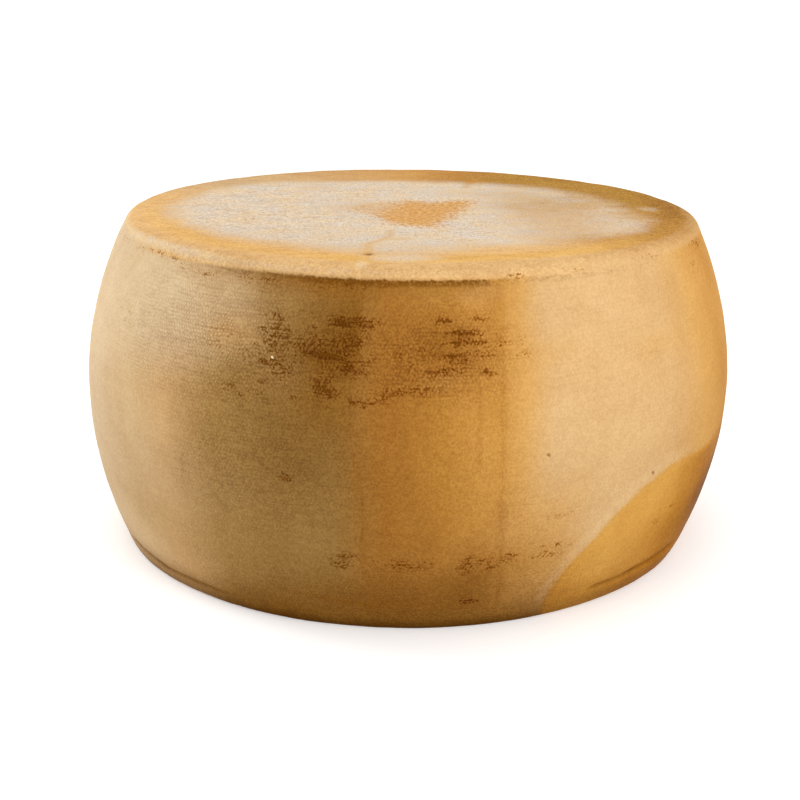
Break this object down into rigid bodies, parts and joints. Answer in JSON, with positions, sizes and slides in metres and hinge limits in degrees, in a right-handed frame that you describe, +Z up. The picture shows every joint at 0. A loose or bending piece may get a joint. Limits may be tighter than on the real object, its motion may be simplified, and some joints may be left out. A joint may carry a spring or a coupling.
{
  "type": "cheese wheel",
  "caption": "Whole wheel of hard aged cheese: a squat drum with bulging sides, two flat faces, a rounded top edge and a dry amber rind.",
  "frame": {"origin": "centre of the flat face that the wheel stands on", "axes": "+Z up along the wheel's own axis, towards its top face; -Y is the front"},
  "size_m": [0.44, 0.44, 0.216],
  "materials": {
    "rind": "dry, slightly waxy cheese rind, amber with a powdery bloom on top"
  },
  "bodies": {
    "root": {"cheese_wheel": "rind"}
  },
  "joints": []
}
